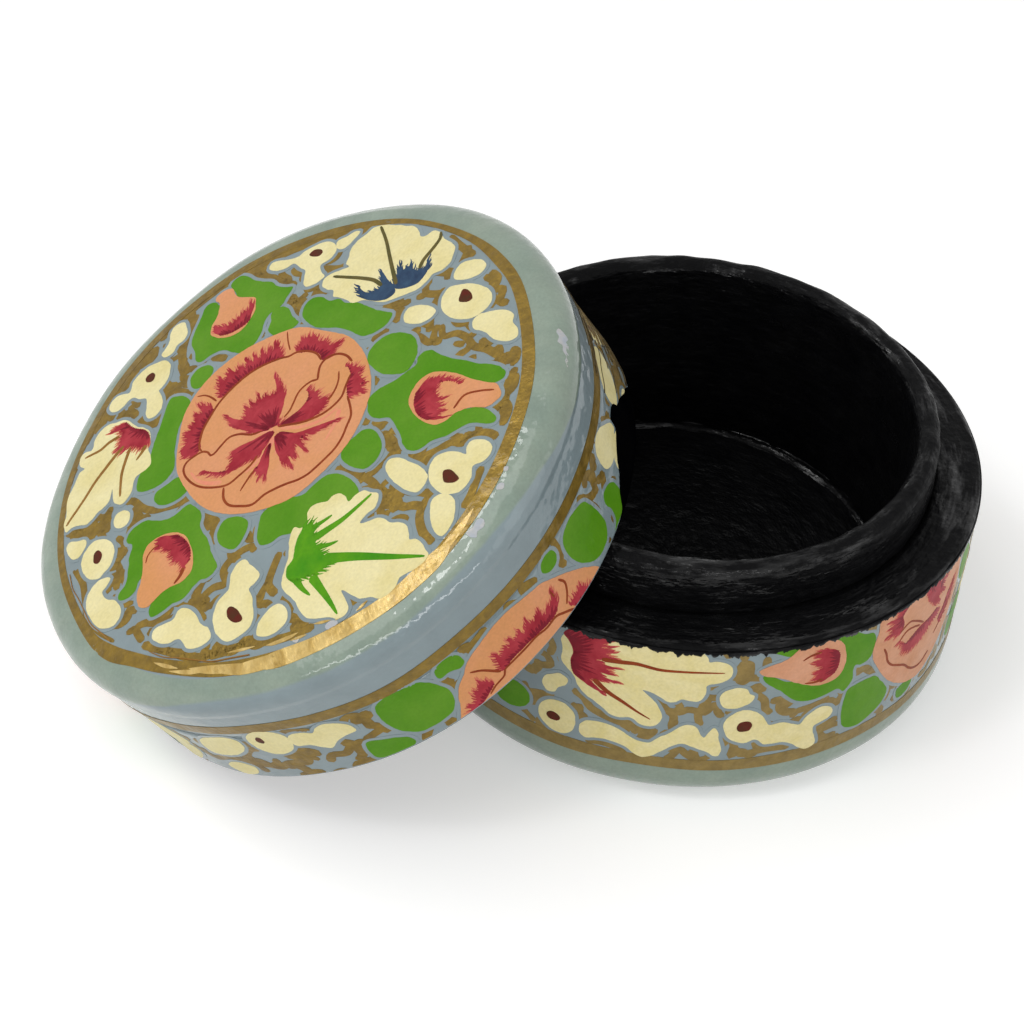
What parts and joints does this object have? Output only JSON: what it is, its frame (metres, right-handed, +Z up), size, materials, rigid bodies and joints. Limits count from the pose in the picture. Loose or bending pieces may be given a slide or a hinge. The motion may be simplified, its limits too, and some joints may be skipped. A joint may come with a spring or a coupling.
{
  "type": "papier mache box",
  "caption": "Round painted papier mache trinket box: a black-lined base with a raised inner collar, and a lift-off lid shown leaning on it.",
  "frame": {"origin": "centre of the underside of the base, on the table", "axes": "+Z up along the axis of the base; the lid leans away from the base towards -X, and its slope runs in the X-Z plane"},
  "size_m": [0.1212, 0.076, 0.0573],
  "materials": {
    "painted_body": "papier mache, hand painted with flowers and gold lines, clear varnish",
    "black_lacquer": "papier mache under uneven glossy black lacquer"
  },
  "bodies": {
    "base": {"base_bottom": "painted_body", "base_wall": "painted_body", "collar_sleeve": "black_lacquer", "floor_disc": "black_lacquer"},
    "lid": {"lid_cap": "painted_body", "lid_wall": "painted_body"}
  },
  "joints": [
    {"name": "lid_lift", "type": "slide", "parent": "base", "child": "lid", "axis": [0, 0, 1], "range_m": [0, 0.06]}
  ]
}
